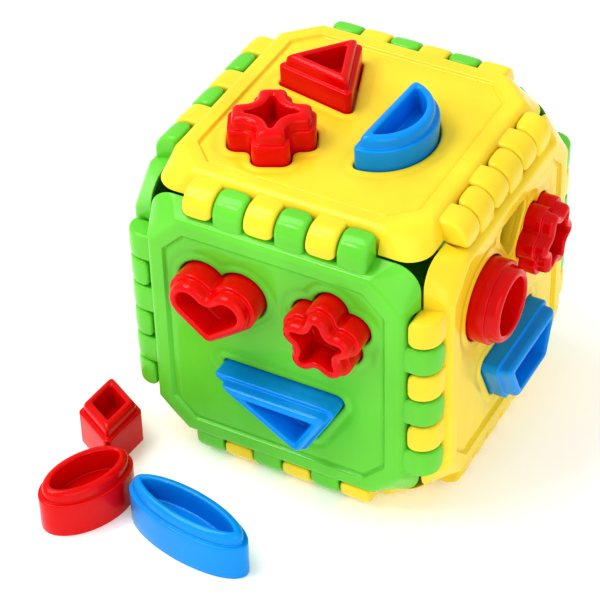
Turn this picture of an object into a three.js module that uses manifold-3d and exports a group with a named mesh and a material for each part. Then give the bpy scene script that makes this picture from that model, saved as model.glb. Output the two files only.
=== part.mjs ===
// Shape sorter: a cube of six snap-together panels, nine blocks standing in its
// holes and three blocks lying loose beside it. Millimetres, +Z up.
// The set stands on the floor at z = 0 and is centred on the origin.
import * as THREE from 'three';
import { mergeVertices } from 'three/addons/utils/BufferGeometryUtils.js';
import Module from 'manifold-3d';

const wasm = await Module();
wasm.setup();

// ---------------------------------------------------------------- driving dimensions
// "Level" is a distance from the cube's centre, measured along a panel's own normal.
const FRAME_LEVEL = 70; // raised octagonal frame: the cube is 140 over its frames
const FIELD_LEVEL = 69; // field inside the frame
const INNER_LEVEL = 66.5; // inside face of the panel
const COLLAR_LEVEL = 60.5; // inner end of the guide collar round each hole
const FOOT_LEVEL = 59; // foot of the panel's sloping side wall
const FIELD_HALF = 47.7; // octagon of the field, half width across flats
const FIELD_CHAMFER = 9.2;
const RIDGE_HALF = 55.5; // octagon of the frame's outer ridge
const RIDGE_CHAMFER = 13.8;
const FOOT_HALF = 58.8; // half width of the side wall's foot
const TIP_RADIUS = 10.5; // rounded tip of the flap at each corner
const INNER_HALF = 52; // octagon of the hollow side, just under the field
const INNER_CHAMFER = 8;
const INNER_FOOT_HALF = 54;
const STEP_SLOPE = 0.6; // run of the small step from frame to field

const FINGER_PITCH = 40 / 3; // six finger places on every edge
const FINGER_GAP = 0.7; // side gap between neighbouring fingers
const FINGER_LEVEL = 68; // outer surface of the fingers
const FINGER_CORNER = 8; // radius of a finger where it turns over the edge
const FINGER_STOP = 57; // end of a finger, in front of the next panel's wall
const FINGER_ROOT = 55.5; // start of a finger, inside its own side wall
const POCKET_HALF = 56.7; // straight wall behind the next panel's fingers

const HOLE_GAP = 0.4; // play between a block and its hole
const COLLAR_WALL = 1.8;

const BLOCK_HEIGHT = 22;
// A block's wall from the web's underside, round the foot and the rim, to its floor:
// [inset from the outline, height].
const BLOCK_PROFILE = [
  [2, 9.5], [1.8, 0], [0, 0], [0, 16.9], [1.4, 17.6], [1.6, 19.2],
  [2.9, 21.4], [4.2, BLOCK_HEIGHT], [5.2, 21.5], [5.8, 11.5],
];

const COLOURS = {
  green: 0x5fd62e, yellow: 0xf7dc2e, red: 0xe00812, blue: 0x0a9ef0,
};

// ---------------------------------------------------------------- outlines
// Every outline is a closed list of points, anticlockwise about its own origin.

// A polygon with rounded corners; radii are used in turn, and one alone serves every corner.
function roundedPolygon(corners, radii, steps = 4) {
  const points = [];
  corners.forEach((corner, i) => {
    const radius = radii[i % radii.length];
    const here = new THREE.Vector2(...corner);
    const before = new THREE.Vector2(...corners.at(i - 1)).sub(here).normalize();
    const after = new THREE.Vector2(...corners[(i + 1) % corners.length]).sub(here).normalize();
    const half = Math.acos(before.dot(after)) / 2;
    const reach = radius / Math.tan(half);
    const centre = before.clone().add(after).setLength(radius / Math.sin(half)).add(here);
    const start = before.clone().multiplyScalar(reach).add(here).sub(centre).angle();
    const end = after.clone().multiplyScalar(reach).add(here).sub(centre).angle();
    const sweep = Math.atan2(Math.sin(end - start), Math.cos(end - start));
    for (let k = 0; k <= steps; k++) {
      const a = start + (sweep * k) / steps;
      points.push(new THREE.Vector2(radius * Math.cos(a), radius * Math.sin(a)).add(centre));
    }
  });
  return points;
}

function ellipse(a, b, steps = 24) {
  return new THREE.EllipseCurve(0, 0, a, b).getPoints(steps).slice(0, -1);
}

// Equal discs whose centres lie on a circle: they reach out to outer and meet at valley.
function petals(count, outer, valley, turn, stepsEach = 6) {
  const share = (2 * Math.PI) / count;
  const centre = (outer ** 2 - valley ** 2) / (2 * (outer - Math.cos(share / 2) * valley));
  return Array.from({ length: count * stepsEach }, (_, i) => {
    const a = (share * i) / stepsEach;
    const near = ((a + share / 2) % share) - share / 2;
    const across = centre * Math.sin(near);
    const r = centre * Math.cos(near) + Math.sqrt((outer - centre) ** 2 - across ** 2);
    return new THREE.Vector2(r * Math.cos(a + turn), r * Math.sin(a + turn));
  });
}

function arc(x, y, radius, start, end, steps) {
  return new THREE.EllipseCurve(x, y, radius, radius, start, end).getPoints(steps);
}

// Two round lobes, side by side, over a blunt point.
function heart(lobe, spread, tip, corner) {
  const lean = Math.atan2(spread, tip) + Math.asin(lobe / Math.hypot(spread, tip));
  const top = Math.PI - Math.acos(spread / lobe);
  const rise = (tip - lobe) / 2;
  const point = arc(0, rise - tip + corner / Math.sin(lean), corner, lean - Math.PI, -lean, 3);
  const right = arc(spread, rise, lobe, -lean, top - 0.1, 10);
  const left = right.map((p) => new THREE.Vector2(-p.x, p.y)).reverse();
  return [...point, ...right, ...left];
}

// A slightly flat half disc whose straight side lies on x = 0 before it is shifted.
function halfDisc(radius, bulge, corner, steps = 14) {
  const height = Math.sqrt((radius - corner) ** 2 - corner ** 2);
  const open = Math.atan2(height, corner);
  return [
    ...arc(0, 0, radius, -open, open, steps),
    ...arc(corner, height, corner, open, Math.PI, 3).slice(1),
    ...arc(corner, -height, corner, Math.PI, 2 * Math.PI - open, 3).slice(0, -1),
  ].map((p) => new THREE.Vector2((p.x * bulge) / radius - radius * 0.45, p.y));
}

function plus(reach, arm, corner) {
  const quarter = [[reach, -arm], [reach, arm], [arm, arm]];
  const corners = [0, 1, 2, 3].flatMap((q) => quarter.map(([x, y]) => {
    const p = new THREE.Vector2(x, y).rotateAround(new THREE.Vector2(), (q * Math.PI) / 2);
    return [p.x, p.y];
  }));
  return roundedPolygon(corners, [corner], 3);
}

const OUTLINES = {
  heart: heart(10.5, 8.5, 20, 4),
  flower: petals(5, 17, 11.8, Math.PI / 2),
  wedge: roundedPolygon([[-32.5, 10.2], [9.8, -17.2], [25.5, 10.2]], [1.2, 3, 3], 3),
  triangle: roundedPolygon([[0, 22.2], [-19.2, -11.1], [19.2, -11.1]], [2], 3),
  cross: plus(17.4, 7.6, 3.8),
  half_disc: halfDisc(24, 22, 2.5),
  ring: ellipse(17.3, 17.3, 28),
  star: petals(6, 16.5, 12.2, 0),
  trapezium: roundedPolygon([[26, 12.5], [-26, 12.5], [-14, -12.5], [17, -12.5]], [3], 3),
  diamond: roundedPolygon([[20.5, 0], [0, 13.3], [-20.5, 0], [0, -13.3]], [2], 3),
  oval: ellipse(21.5, 12.8),
  long_oval: ellipse(29.9, 11, 28),
  shield: roundedPolygon([[14.5, 7.5], [-14.5, 7.5], [0, -15]], [4]),
};

// ---------------------------------------------------------------- offsets
// Signed distance from a point to an outline, positive inside it.
function depth(p, outline) {
  let nearest = Infinity;
  let inside = false;
  outline.forEach((a, i) => {
    const b = outline[(i + 1) % outline.length];
    const along = b.clone().sub(a);
    const t = THREE.MathUtils.clamp(p.clone().sub(a).dot(along) / along.lengthSq(), 0, 1);
    nearest = Math.min(nearest, p.distanceTo(along.multiplyScalar(t).add(a)));
    const crosses = (a.y > p.y) !== (b.y > p.y);
    if (crosses && p.x < ((b.x - a.x) * (p.y - a.y)) / (b.y - a.y) + a.x) inside = !inside;
  });
  return inside ? nearest : -nearest;
}

// The outline moved inwards by inset: each point slides along its ray from the origin
// until it lies that deep. A negative inset moves it outwards.
function offset(outline, inset) {
  if (inset === 0) return outline;
  return outline.map((point) => {
    let near = 0;
    let far = point.length() + Math.max(0, -2 * inset);
    for (let k = 0; k < 40; k++) {
      const middle = (near + far) / 2;
      if (depth(point.clone().setLength(middle), outline) > inset) near = middle;
      else far = middle;
    }
    return point.clone().setLength(near);
  });
}

// ---------------------------------------------------------------- solids
// A closed solid through rings of equal length; the first and last are capped flat.
function loft(rings) {
  const count = rings[0].length;
  const index = [];
  for (let r = 0; r + 1 < rings.length; r++) {
    for (let i = 0; i < count; i++) {
      const j = (i + 1) % count;
      const [a, b, c, d] = [r * count + i, r * count + j, (r + 1) * count + i, (r + 1) * count + j];
      index.push(a, b, c, b, d, c);
    }
  }
  const flat = (ring) => ring.map((p) => new THREE.Vector2(p.x, p.y));
  const last = (rings.length - 1) * count;
  THREE.ShapeUtils.triangulateShape(flat(rings[0]), []).forEach(([a, b, c]) => index.push(a, c, b));
  THREE.ShapeUtils.triangulateShape(flat(rings.at(-1)), [])
    .forEach(([a, b, c]) => index.push(last + a, last + b, last + c));
  const geometry = new THREE.BufferGeometry().setFromPoints(rings.flat());
  geometry.setIndex(index);
  return geometry;
}

function ringAt(outline, height) {
  return outline.map((p) => new THREE.Vector3(p.x, p.y, height));
}

function prism(outline, bottom, top) {
  return loft([ringAt(outline, bottom), ringAt(outline, top)]);
}

function toManifold(geometry) {
  const bare = geometry.clone();
  bare.deleteAttribute('normal');
  bare.deleteAttribute('uv');
  const merged = mergeVertices(bare, 1e-5);
  return new wasm.Manifold(new wasm.Mesh({
    numProp: 3,
    vertProperties: new Float32Array(merged.attributes.position.array),
    triVerts: new Uint32Array(merged.index.array),
  }));
}

function fromManifold(solid) {
  const { vertProperties, triVerts } = solid.getMesh();
  const geometry = new THREE.BufferGeometry();
  geometry.setAttribute('position', new THREE.BufferAttribute(vertProperties, 3));
  geometry.setIndex(new THREE.BufferAttribute(triVerts, 1));
  return geometry;
}

// ---------------------------------------------------------------- blocks
// A cup: straight body, a step, a narrower rim with a rounded shoulder, a floor part
// way down and a hollow underside. Its foot stands on z = 0.
function blockGeometry(outline) {
  return loft(BLOCK_PROFILE.map(([inset, height]) => ringAt(offset(outline, inset), height)));
}

// ---------------------------------------------------------------- panels
// A panel is made facing +Z, with the cube's centre at the origin, x to the right and
// y up as seen from outside.
const CORNER_POINTS = 6;

function squareRing(level, corner) {
  return [0, 1, 2, 3].flatMap((q) => Array.from({ length: CORNER_POINTS }, (_, k) => {
    const p = corner(k / (CORNER_POINTS - 1)).rotateAround(new THREE.Vector2(), (q * Math.PI) / 2);
    return new THREE.Vector3(p.x, p.y, level);
  }));
}

function octagonRing(level, half, chamfer) {
  const from = new THREE.Vector2(half, half - chamfer);
  const to = new THREE.Vector2(half - chamfer, half);
  return squareRing(level, (t) => from.clone().lerp(to, t));
}

function roundSquareRing(level, half, radius) {
  return squareRing(level, (t) => {
    const a = (t * Math.PI) / 2;
    return new THREE.Vector2(Math.cos(a), Math.sin(a)).multiplyScalar(radius).addScalar(half - radius);
  });
}

function panelShell() {
  return loft([
    octagonRing(INNER_LEVEL, INNER_HALF, INNER_CHAMFER),
    roundSquareRing(FOOT_LEVEL, INNER_FOOT_HALF, TIP_RADIUS / 2),
    roundSquareRing(FOOT_LEVEL, FOOT_HALF, TIP_RADIUS),
    octagonRing(FRAME_LEVEL, RIDGE_HALF, RIDGE_CHAMFER),
    octagonRing(FRAME_LEVEL, FIELD_HALF + STEP_SLOPE, FIELD_CHAMFER + STEP_SLOPE * 0.586),
    octagonRing(FIELD_LEVEL, FIELD_HALF, FIELD_CHAMFER),
  ]);
}

// A bar on the +y edge, centred on x = 0, from a section given as [way out, level].
function edgeBar(section, width) {
  const geometry = prism(section.map(([y, z]) => new THREE.Vector2(y, z)), -width / 2, width / 2);
  const basis = new THREE.Matrix4().makeBasis(
    new THREE.Vector3(0, 1, 0), new THREE.Vector3(0, 0, 1), new THREE.Vector3(1, 0, 0),
  );
  return toManifold(geometry.applyMatrix4(basis));
}

// A finger leaves the side wall, turns over the edge and stops at the next panel's wall.
function finger() {
  const turn = FINGER_LEVEL - FINGER_CORNER;
  const bend = arc(turn, turn, FINGER_CORNER, 0, Math.PI / 2, 4).map((p) => [p.x, p.y]);
  const inner = FOOT_LEVEL + 0.3;
  return edgeBar([
    [FINGER_ROOT, FOOT_LEVEL], [inner, FOOT_LEVEL], [inner, FINGER_STOP],
    [FINGER_LEVEL - 1, FINGER_STOP], [FINGER_LEVEL, FINGER_STOP + 0.8],
    ...bend, [FINGER_ROOT, FINGER_LEVEL],
  ], FINGER_PITCH - FINGER_GAP);
}

// The pocket that takes the next panel's finger: the side wall is cut off straight.
function pocket() {
  const [near, far, low, high] = [POCKET_HALF, FOOT_HALF + 5, FOOT_LEVEL - 1, FRAME_LEVEL + 1];
  return edgeBar([[near, low], [far, low], [far, high], [near, high]], FINGER_PITCH);
}

// Copies of one solid on all four edges, at the given places along each edge.
function onEdges(solid, places) {
  return [0, 1, 2, 3].flatMap((edge) => places.map((place) => (
    solid.translate([place * FINGER_PITCH, 0, 0]).rotate([0, 0, -90 * edge])
  )));
}

function placed(outline, { x, y, turn = 0 }) {
  const angle = THREE.MathUtils.degToRad(turn);
  return (p) => p.clone().rotateAround(new THREE.Vector2(), angle).add(new THREE.Vector2(x, y));
}

function panelGeometry(holes) {
  let panel = toManifold(panelShell());
  for (const cut of onEdges(pocket(), [-2.5, -0.5, 1.5])) panel = panel.subtract(cut);
  for (const bar of onEdges(finger(), [-1.5, 0.5, 2.5])) panel = panel.add(bar);
  const cuts = [];
  for (const hole of holes) {
    const outline = OUTLINES[hole.shape];
    const move = placed(outline, hole);
    const mouth = offset(outline, -HOLE_GAP).map(move);
    const collar = offset(outline, -HOLE_GAP - COLLAR_WALL).map(move);
    panel = panel.add(toManifold(prism(collar, COLLAR_LEVEL, INNER_LEVEL + 1)));
    cuts.push(toManifold(prism(mouth, COLLAR_LEVEL - 1, FRAME_LEVEL + 1)));
  }
  for (const cut of cuts) panel = panel.subtract(cut);
  return fromManifold(panel);
}

// ---------------------------------------------------------------- layout
// Each panel's holes, in the panel's own x and y. Those that name a block hold it, with its
// foot at the panel's depth inside the field.
const PANELS = {
  front: {
    colour: 'green',
    basis: [[1, 0, 0], [0, 0, 1], [0, -1, 0]],
    depth: 8.3,
    holes: [
      { shape: 'heart', x: -22.4, y: 21.6, block: 'heart_block', colour: 'red' },
      { shape: 'flower', x: 25.3, y: 25, block: 'flower_block', colour: 'red' },
      { shape: 'wedge', x: 6.6, y: -20, block: 'wedge_block', colour: 'blue' },
    ],
  },
  right: {
    colour: 'yellow',
    basis: [[0, 1, 0], [0, 0, 1], [1, 0, 0]],
    depth: 10,
    holes: [
      { shape: 'ring', x: -23, y: 22, block: 'ring_block', colour: 'red' },
      { shape: 'star', x: 22.5, y: 22.5, turn: 49, block: 'star_block', colour: 'red' },
      { shape: 'trapezium', x: 0, y: -24, block: 'trapezium_block', colour: 'blue' },
      { shape: 'shield', x: 1.5, y: 39 },
    ],
  },
  top: {
    colour: 'yellow',
    basis: [[1, 0, 0], [0, 1, 0], [0, 0, 1]],
    depth: 8,
    holes: [
      { shape: 'triangle', x: -19.7, y: 18.3, turn: -10.4, block: 'triangle_block', colour: 'red' },
      { shape: 'cross', x: -23.4, y: -23.5, turn: 26.3, block: 'cross_block', colour: 'red' },
      { shape: 'half_disc', x: 24.6, y: -2.4, turn: -3, block: 'half_disc_block', colour: 'blue' },
    ],
  },
  left: {
    colour: 'green',
    basis: [[0, -1, 0], [0, 0, 1], [-1, 0, 0]],
    holes: [
      { shape: 'oval', x: -23, y: 20, turn: 70 },
      { shape: 'diamond', x: 22, y: 20, turn: 90 },
      { shape: 'long_oval', x: 0, y: -26 },
    ],
  },
  back: {
    colour: 'green',
    basis: [[-1, 0, 0], [0, 0, 1], [0, 1, 0]],
    holes: [
      { shape: 'ring', x: -23, y: 22 },
      { shape: 'star', x: 22.5, y: 22.5, turn: 49 },
      { shape: 'trapezium', x: 0, y: -24 },
    ],
  },
  bottom: {
    colour: 'yellow',
    basis: [[1, 0, 0], [0, -1, 0], [0, 0, -1]],
    holes: [
      { shape: 'triangle', x: -19.7, y: 18.3, turn: -10.4 },
      { shape: 'cross', x: -23.4, y: -23.5, turn: 26.3 },
      { shape: 'half_disc', x: 24.6, y: -2.4, turn: -3 },
    ],
  },
};

// Blocks lying beside the cube, in the cube's plan; turn is in degrees.
const LOOSE_BLOCKS = [
  { name: 'diamond_block', shape: 'diamond', colour: 'red', x: -75.6, y: -77, turn: 118 },
  { name: 'oval_block', shape: 'oval', colour: 'red', x: -63.7, y: -115.5, turn: 65 },
  { name: 'long_oval_block', shape: 'long_oval', colour: 'blue', x: -16.7, y: -114.2, turn: 169.2 },
];

// ---------------------------------------------------------------- assembly
function namedMesh(name, geometry, colour) {
  const finish = { color: COLOURS[colour], roughness: 0.22, metalness: 0 };
  const mesh = new THREE.Mesh(geometry, new THREE.MeshStandardMaterial(finish));
  mesh.name = name;
  return mesh;
}

function seatedBlock(hole, sunk) {
  const mesh = namedMesh(hole.block, blockGeometry(OUTLINES[hole.shape]), hole.colour);
  mesh.position.set(hole.x, hole.y, FIELD_LEVEL - sunk);
  mesh.rotation.z = THREE.MathUtils.degToRad(hole.turn ?? 0);
  return mesh;
}

function side(name, { colour, basis, depth: sunk, holes }) {
  const group = new THREE.Group();
  group.add(namedMesh(`panel_${name}`, panelGeometry(holes), colour));
  for (const hole of holes) if (hole.block) group.add(seatedBlock(hole, sunk));
  const axes = basis.map((axis) => new THREE.Vector3(...axis));
  group.quaternion.setFromRotationMatrix(new THREE.Matrix4().makeBasis(...axes));
  return group;
}

function looseBlock({ name, shape, colour, x, y, turn }) {
  const mesh = namedMesh(name, blockGeometry(OUTLINES[shape]), colour);
  mesh.position.set(x, y, -FRAME_LEVEL);
  mesh.rotation.z = THREE.MathUtils.degToRad(turn);
  return mesh;
}

function shapeSorter() {
  const set = new THREE.Group();
  for (const [name, panel] of Object.entries(PANELS)) set.add(side(name, panel));
  for (const block of LOOSE_BLOCKS) set.add(looseBlock(block));
  const middle = new THREE.Box3().setFromObject(set, true).getCenter(new THREE.Vector3());
  set.position.set(-middle.x, -middle.y, FRAME_LEVEL);
  return set;
}

export default shapeSorter();
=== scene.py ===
"""A cube shape sorter: six snap-together panels, nine blocks in their holes, three beside it.

Shapes are worked out in millimetres about the cube's centre. A level is a distance from
that centre along a panel's own normal. Meshes are stored in metres, in the row frame.
"""

import math
from itertools import chain

import bpy
import numpy as np
from mathutils import Matrix, Vector
from mathutils.geometry import delaunay_2d_cdt


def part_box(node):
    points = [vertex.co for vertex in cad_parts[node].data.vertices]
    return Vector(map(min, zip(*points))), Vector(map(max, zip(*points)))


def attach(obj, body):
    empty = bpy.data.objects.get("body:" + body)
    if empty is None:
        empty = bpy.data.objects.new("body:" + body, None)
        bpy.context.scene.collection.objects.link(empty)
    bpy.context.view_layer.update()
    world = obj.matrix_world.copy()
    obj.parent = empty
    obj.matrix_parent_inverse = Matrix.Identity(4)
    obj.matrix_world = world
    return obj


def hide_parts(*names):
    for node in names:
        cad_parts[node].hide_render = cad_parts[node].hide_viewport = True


bl_info = {
    "name": "Cube Shape Sorter",
    "version": (1, 0, 0),
    "blender": (4, 5, 0),
    "location": "View3D > Sidebar > Shape Sorter",
    "description": "Builds a moulded cube shape sorter and its blocks round a packed frame",
    "category": "Object",
}

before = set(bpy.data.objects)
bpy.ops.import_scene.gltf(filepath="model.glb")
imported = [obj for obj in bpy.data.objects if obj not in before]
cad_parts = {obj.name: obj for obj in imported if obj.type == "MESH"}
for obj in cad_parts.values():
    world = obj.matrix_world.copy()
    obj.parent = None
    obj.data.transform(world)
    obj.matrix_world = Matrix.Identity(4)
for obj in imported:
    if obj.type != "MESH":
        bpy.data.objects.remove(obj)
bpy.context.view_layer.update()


def cube_centre():
    """The middle of the cube in metres: half way between each pair of opposite panels."""
    pairs = (
        ("panel_left", "panel_right"), ("panel_front", "panel_back"), ("panel_bottom", "panel_top"),
    )
    return np.array([
        (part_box(low)[0][i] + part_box(high)[1][i]) / 2 for i, (low, high) in enumerate(pairs)
    ])


CENTRE = cube_centre()
MM = 0.001
PITCH = 40 / 3
TAU = 2 * math.pi

# Each panel's x, its y and its outward normal, as seen from outside.
PANEL_AXES = {
    "front": ((1, 0, 0), (0, 0, 1), (0, -1, 0)),
    "right": ((0, 1, 0), (0, 0, 1), (1, 0, 0)),
    "top": ((1, 0, 0), (0, 1, 0), (0, 0, 1)),
    "left": ((0, -1, 0), (0, 0, 1), (-1, 0, 0)),
    "back": ((-1, 0, 0), (0, 0, 1), (0, 1, 0)),
    "bottom": ((1, 0, 0), (0, -1, 0), (0, 0, -1)),
}
PANEL_COLOUR = {
    "front": "green", "left": "green", "back": "green",
    "top": "yellow", "right": "yellow", "bottom": "yellow",
}
# Holes of each panel: (shape, x, y, turn in degrees, block standing in it, its colour).
HOLES = {
    "front": (
        ("heart", -22.4, 21.6, 0, "heart_block", "red"),
        ("flower", 25.3, 25, 0, "flower_block", "red"),
        ("wedge", 6.6, -20, 0, "wedge_block", "blue"),
    ),
    "right": (
        ("ring", -23, 22, 0, "ring_block", "red"),
        ("star", 22.5, 22.5, 49, "star_block", "red"),
        ("trapezium", 0, -24, 0, "trapezium_block", "blue"),
        ("shield", 1.5, 39, 0, None, None),
    ),
    "top": (
        ("triangle", -19.7, 18.3, -10.4, "triangle_block", "red"),
        ("cross", -23.4, -23.5, 26.3, "cross_block", "red"),
        ("half_disc", 24.6, -2.4, -3, "half_disc_block", "blue"),
    ),
    "left": (
        ("oval", -23, 20, 70, None, None),
        ("diamond", 22, 20, 90, None, None),
        ("long_oval", 0, -26, 0, None, None),
    ),
    "back": (
        ("ring", -23, 22, 0, None, None),
        ("star", 22.5, 22.5, 49, None, None),
        ("trapezium", 0, -24, 0, None, None),
    ),
    "bottom": (
        ("triangle", -19.7, 18.3, -10.4, None, None),
        ("cross", -23.4, -23.5, 26.3, None, None),
        ("half_disc", 24.6, -2.4, -3, None, None),
    ),
}
# Blocks on the floor: (name, shape, x, y, turn in degrees, colour).
LOOSE = (
    ("diamond_block", "diamond", -75.6, -77, 118, "red"),
    ("oval_block", "oval", -63.7, -115.5, 65, "red"),
    ("long_oval_block", "long_oval", -16.7, -114.2, 169.2, "blue"),
)


# ------------------------------------------------------------------ settings
def length(name, description, default_mm, low=0.0):
    """A length setting, given in millimetres and kept in metres."""
    return bpy.props.FloatProperty(
        name=name, description=description, default=default_mm * MM, min=low * MM,
        unit="LENGTH", subtype="DISTANCE", precision=5,
    )


def colour(name, description, default):
    """A colour setting in linear light."""
    return bpy.props.FloatVectorProperty(
        name=name, description=description, default=default, size=3, min=0, max=1, subtype="COLOR",
    )


class SorterPanelSettings(bpy.types.PropertyGroup):
    frame_level: length("Frame level", "Cube centre to the raised octagonal frame", 70)
    field_level: length("Field level", "Cube centre to the field inside the frame", 69)
    inner_level: length("Inner level", "Cube centre to the panel's hollow side", 66.5)
    foot_level: length("Foot level", "Cube centre to the foot of the side wall", 59)
    collar_level: length("Collar level", "Cube centre to the inner end of a hole's collar", 60.5)
    field_half: length("Field half width", "Half width of the field's octagon across flats", 47.7)
    ridge_half: length("Ridge half width", "Half width of the outer ridge across flats", 55.5)
    ridge_chamfer: length("Ridge corner", "How much of each corner the ridge cuts off", 13.8)
    foot_half: length("Foot half width", "Half width of the side wall's foot", 58.8)
    tip_radius: length("Tip radius", "Rounding of the flap at each corner", 10.5)
    pocket_half: length("Pocket half width", "Straight wall behind the next panel's fingers", 56.7)
    hole_gap: length("Hole gap", "Play between a block and its hole", 0.4)
    collar_wall: length("Collar wall", "Thickness of the guide collar round a hole", 1.8)
    lip_width: length("Lip width", "Width of the soft lip round a hole", 2.1)
    valley_width: length("Valley width", "Width of the shallow valley outside the lip", 4.2)
    valley_depth: length("Valley depth", "Depth of the shallow valley outside the lip", 0.3)


class SorterFingerSettings(bpy.types.PropertyGroup):
    level: length("Finger level", "Cube centre to a finger's outer surface", 68)
    bend: length("Bend radius", "Radius of a finger where it turns over the edge", 8)
    root: length("Finger root", "Cube centre to a finger's start, inside its own side wall", 55.5)
    stop: length("Finger end", "Level at which a finger ends, at the next panel's wall", 57)
    width: length("Finger width", "Width of a finger", 12.7)
    soft: length("Edge radius", "Rounding along a finger's two sides", 1.5)
    tip: length("Tip corners", "Rounding of a finger's two end corners", 3.2)
    crown: length("Crown", "How far a finger bulges along its middle", 0.3)


class SorterBlockSettings(bpy.types.PropertyGroup):
    height: length("Height", "Whole height of a block", 22)
    body: length("Body height", "Height of the straight body, up to the step", 16.9)
    step: length("Step", "How far the rim stands in from the body", 1.6)
    crest: length("Rim crest", "Distance from the outline in to the top of the rim", 4.2)
    cavity: length("Cavity wall", "Distance from the outline in to the cavity's wall", 5.6)
    floor: length("Floor height", "Height of the cavity's floor over the foot", 11.5)
    web: length("Web height", "Height of the hollow underside's roof", 9.5)
    wall: length("Wall", "Wall thickness at the foot", 1.9)
    depth_front: length("Depth in front", "How far the front panel's blocks reach inside its field", 8.3)
    depth_right: length("Depth at right", "How far the right panel's blocks reach inside its field", 10)
    depth_top: length("Depth on top", "How far the top panel's blocks reach inside its field", 8)


class SorterColourSettings(bpy.types.PropertyGroup):
    green: colour("Green", "Front, left and back panels", (0.17, 0.62, 0.06))
    yellow: colour("Yellow", "Top, right and bottom panels", (0.9, 0.69, 0.05))
    red: colour("Red", "Red blocks", (0.7, 0.001, 0.002))
    blue: colour("Blue", "Blue blocks", (0.001, 0.31, 0.78))
    roughness: bpy.props.FloatProperty(
        name="Roughness", description="Middle roughness of the gloss", default=0.15,
        min=0, max=1, subtype="FACTOR",
    )


class SorterStageSettings(bpy.types.PropertyGroup):
    exposure: bpy.props.FloatProperty(
        name="Exposure", description="Brightness of the view, in stops", default=-0.1, min=-5, max=5,
    )
    floor_size: length("Floor size", "Side of the square floor", 6000)
    lens: bpy.props.FloatProperty(
        name="Lens", description="Focal length", default=145.95, min=1, unit="CAMERA",
    )
    key_power: bpy.props.FloatProperty(
        name="Key light", description="Power of the large soft light", default=5, min=0, unit="POWER",
    )
    fill_power: bpy.props.FloatProperty(
        name="Fill light", description="Power of the fill light", default=3, min=0, unit="POWER",
    )
    window_power: bpy.props.FloatProperty(
        name="Window light", description="Power of each small light that gives crisp glints", default=1.3,
        min=0, unit="POWER",
    )
    sky: bpy.props.FloatProperty(
        name="Surround", description="Strength of the even white surround", default=0.62, min=0,
    )


def mm(settings, name):
    """One length setting in millimetres."""
    return getattr(settings, name) / MM


# ------------------------------------------------------------------ outlines
def arc(x, y, radius, start, end, steps=24):
    """Points at centre + radius (cos a, sin a), with a in equal steps from start to end."""
    a = np.linspace(start, end, steps + 1)
    return np.stack([x + radius * np.cos(a), y + radius * np.sin(a)], 1)


def resample(points, count):
    """A closed outline as count points in equal steps of arc length."""
    closed = np.vstack([points, points[:1]])
    run = np.concatenate([[0], np.cumsum(np.linalg.norm(np.diff(closed, axis=0), axis=1))])
    at = np.linspace(0, run[-1], count, endpoint=False)
    return np.stack([np.interp(at, run, closed[:, i]) for i in (0, 1)], 1)


def soften(points, width):
    """A closed outline averaged with a Gaussian weight of that width along its length."""
    step = np.linalg.norm(points - np.roll(points, 1, 0), axis=1).mean()
    reach = np.arange(-int(3 * width / step) - 1, int(3 * width / step) + 2)
    weight = np.exp(-((reach * step / width) ** 2) / 2)
    shifted = np.stack([np.roll(points, -k, 0) for k in reach])
    return np.tensordot(weight / weight.sum(), shifted, 1)


def rounded_polygon(corners, radii):
    """A polygon whose corners are arcs: each arc's centre lies on the corner's bisector."""
    here = np.array(corners, float)
    radius = np.broadcast_to(np.array(radii, float), len(here))
    before = np.roll(here, 1, 0) - here
    after = np.roll(here, -1, 0) - here
    before /= np.linalg.norm(before, axis=1)[:, None]
    after /= np.linalg.norm(after, axis=1)[:, None]
    half = np.arccos((before * after).sum(1)) / 2
    middle = before + after
    middle /= np.linalg.norm(middle, axis=1)[:, None]
    centre = here + middle * (radius / np.sin(half))[:, None]
    reach = (radius / np.tan(half))[:, None]
    start, end = here + before * reach - centre, here + after * reach - centre
    a0 = np.arctan2(start[:, 1], start[:, 0])
    turn = np.arctan2(end[:, 1], end[:, 0]) - a0
    turn = np.arctan2(np.sin(turn), np.cos(turn))
    a = a0[:, None] + turn[:, None] * np.linspace(0, 1, 13)
    points = centre[:, None] + radius[:, None, None] * np.stack([np.cos(a), np.sin(a)], -1)
    return points.reshape(-1, 2)


def quarter_turns():
    """Matrices that turn rows of points by no, one, two and three quarter turns."""
    angles = np.arange(4) * TAU / 4
    return np.array([
        [[math.cos(a), math.sin(a)], [-math.sin(a), math.cos(a)]] for a in angles
    ])


def ellipse(a, b):
    """Points at (a cos t, b sin t)."""
    t = np.linspace(0, TAU, 720, endpoint=False)
    return np.stack([a * np.cos(t), b * np.sin(t)], 1)


def petals(count, reach, valley, turn, fillet=0.9):
    """The outline of count equal discs whose centres lie on a circle.

    Their radius and that circle's follow from the outer reach and the valley's depth:
    r(a) = c cos a + sqrt(d d - c c sin a sin a), with c + d = reach and r(pi / count) = valley.
    """
    k = math.cos(math.pi / count)
    c = (reach**2 - valley**2) / (2 * (reach - k * valley))
    d = reach - c
    a = np.linspace(0, TAU, 1440, endpoint=False)
    near = (a + math.pi / count) % (TAU / count) - math.pi / count
    r = c * np.cos(near) + np.sqrt(np.maximum(d * d - (c * np.sin(near)) ** 2, 0))
    points = np.stack([r * np.cos(a + turn), r * np.sin(a + turn)], 1)
    return soften(resample(points, 480), fillet)


def heart(lobe, spread, tip, corner):
    """Two discs side by side over a point, with the tangent lines and a filleted point."""
    lean = math.atan2(spread, tip) + math.asin(lobe / math.hypot(spread, tip))
    top = math.pi - math.acos(spread / lobe)
    rise = (tip - lobe) / 2
    point = arc(0, rise - tip + corner / math.sin(lean), corner, lean - math.pi, -lean, 10)
    right = arc(spread, rise, lobe, -lean, top, 60)
    left = (right * (-1, 1))[::-1]
    return soften(resample(np.vstack([point, right, left]), 480), 0.7)


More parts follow.
